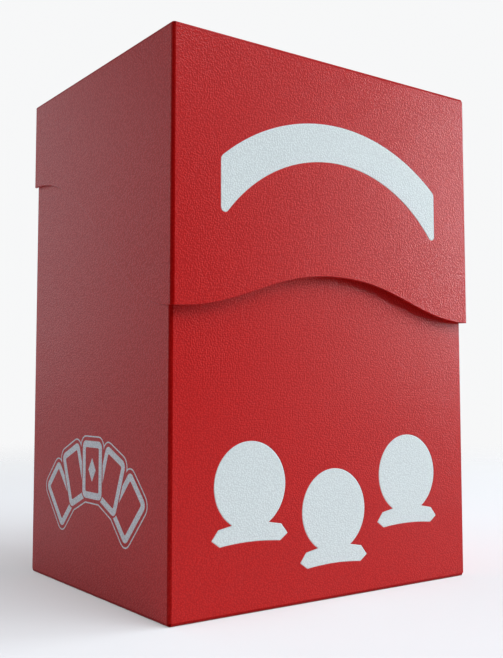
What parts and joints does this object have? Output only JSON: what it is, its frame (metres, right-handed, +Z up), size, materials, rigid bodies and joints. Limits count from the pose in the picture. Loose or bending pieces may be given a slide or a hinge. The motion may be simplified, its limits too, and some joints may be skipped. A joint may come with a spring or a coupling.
{
  "type": "card deck box",
  "caption": "Upright box for a deck of sleeved cards, folded from matte plastic sheet, with a hinged hood lid, pale inset windows and a loose divider.",
  "frame": {"origin": "middle of the closed box's footprint, on the surface it stands on", "axes": "+Z up, +Y from the front flap to the hinge at the back, +X to the right seen from the front"},
  "size_m": [0.0724, 0.0576, 0.1],
  "materials": {
    "red_polypropylene": "fine matte grain with a soft sheen",
    "frosted_polypropylene": "frosted, fine matte grain",
    "divider_polypropylene": "fine matte grain",
    "silver_print": "thin silver print on the left wall, drawn by the visual only"
  },
  "bodies": {
    "box": {"front_wall": "red_polypropylene", "left_wall": "red_polypropylene", "right_wall": "red_polypropylene", "back_wall": "red_polypropylene", "bottom_panel": "red_polypropylene", "corner_crease_front_left": "red_polypropylene", "corner_crease_front_right": "red_polypropylene", "corner_crease_back_left": "red_polypropylene", "corner_crease_back_right": "red_polypropylene", "seam_flap": "red_polypropylene", "bottom_crease_front": "red_polypropylene", "bottom_crease_left": "red_polypropylene", "bottom_crease_right": "red_polypropylene", "bottom_crease_back": "red_polypropylene", "bottom_flap_left": "red_polypropylene", "bottom_flap_right": "red_polypropylene", "bottom_flap_back": "red_polypropylene", "window_left": "frosted_polypropylene", "window_middle": "frosted_polypropylene", "window_right": "frosted_polypropylene", "living_hinge": "red_polypropylene"},
    "lid": {"lid_top": "red_polypropylene", "lid_front_flap": "red_polypropylene", "lid_side_left": "red_polypropylene", "lid_side_right": "red_polypropylene", "lid_crease_front": "red_polypropylene", "lid_crease_left": "red_polypropylene", "lid_crease_right": "red_polypropylene", "lid_corner_crease_left": "red_polypropylene", "lid_corner_crease_right": "red_polypropylene", "lid_tab_left": "red_polypropylene", "lid_tab_right": "red_polypropylene", "window_arc": "frosted_polypropylene"},
    "divider": {"card_divider": "divider_polypropylene"}
  },
  "joints": [
    {"name": "lid_hinge", "type": "hinge", "parent": "box", "child": "lid", "pos_m": [0, 0.02882, 0.1], "axis": [-1, 0, 0], "range_deg": [0, 265], "deforming": ["living_hinge"]},
    {"name": "divider_slide", "type": "slide", "parent": "box", "child": "divider", "axis": [0, 1, 0], "range_m": [-0.0374, 0.0162]}
  ]
}
